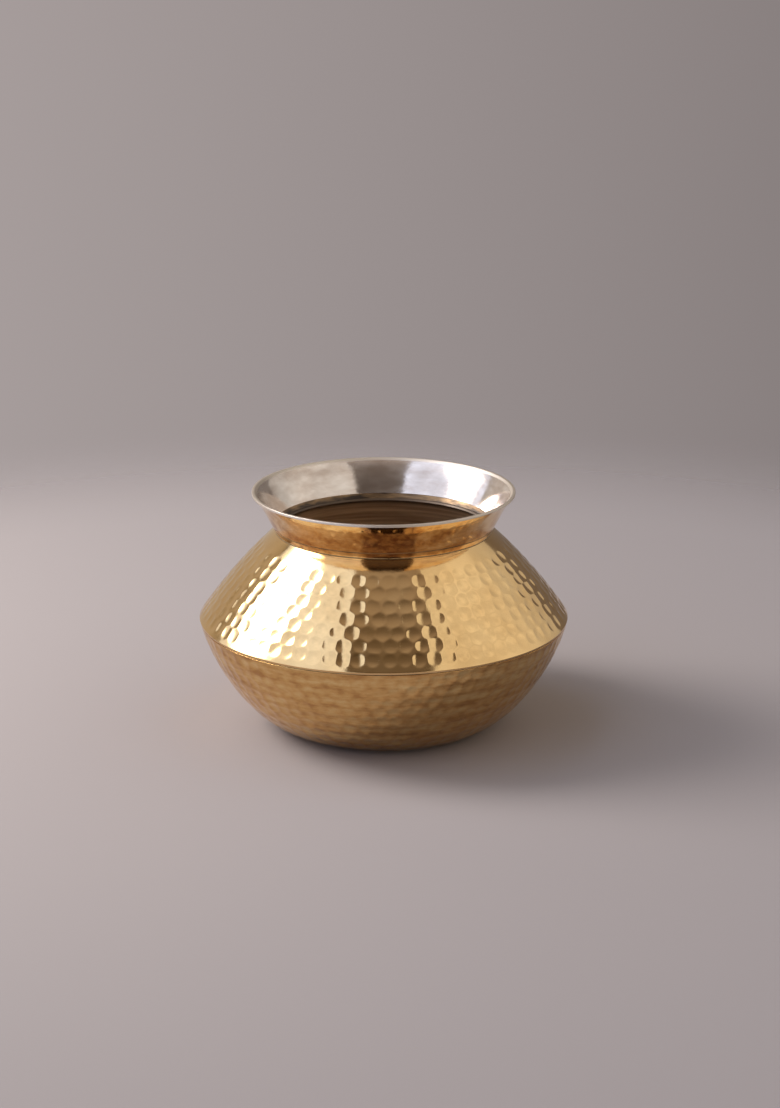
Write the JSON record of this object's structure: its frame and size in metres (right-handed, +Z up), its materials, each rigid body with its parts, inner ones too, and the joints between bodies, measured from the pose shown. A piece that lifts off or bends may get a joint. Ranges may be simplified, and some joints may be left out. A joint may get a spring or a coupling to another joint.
{
  "type": "handi pot",
  "caption": "Handi, a wide hammered brass cooking pot: dished bowl and domed shoulder lapped at a sharp belly edge, with a flared collar tinned inside.",
  "frame": {"origin": "middle of the flat base, on the surface that the pot stands on", "axes": "+Z up along the pot's axis of revolution, through the mouth; X and Y level and equal"},
  "size_m": [0.22, 0.22, 0.1426],
  "materials": {
    "hammered_brass": "polished outside over rows of round hammer marks, browned inside with fine turning rings",
    "polished_brass": "smooth, polished, with faint streaks round the collar",
    "braze": "dull pale braze, filed smooth",
    "tin": "wiped tin coat, satin, with soft streaks and wipe marks"
  },
  "bodies": {
    "root": {"bowl": "hammered_brass", "shoulder": "hammered_brass", "collar": "polished_brass", "belly_braze": "braze", "neck_braze": "braze", "tin_lining": "tin"}
  },
  "joints": []
}
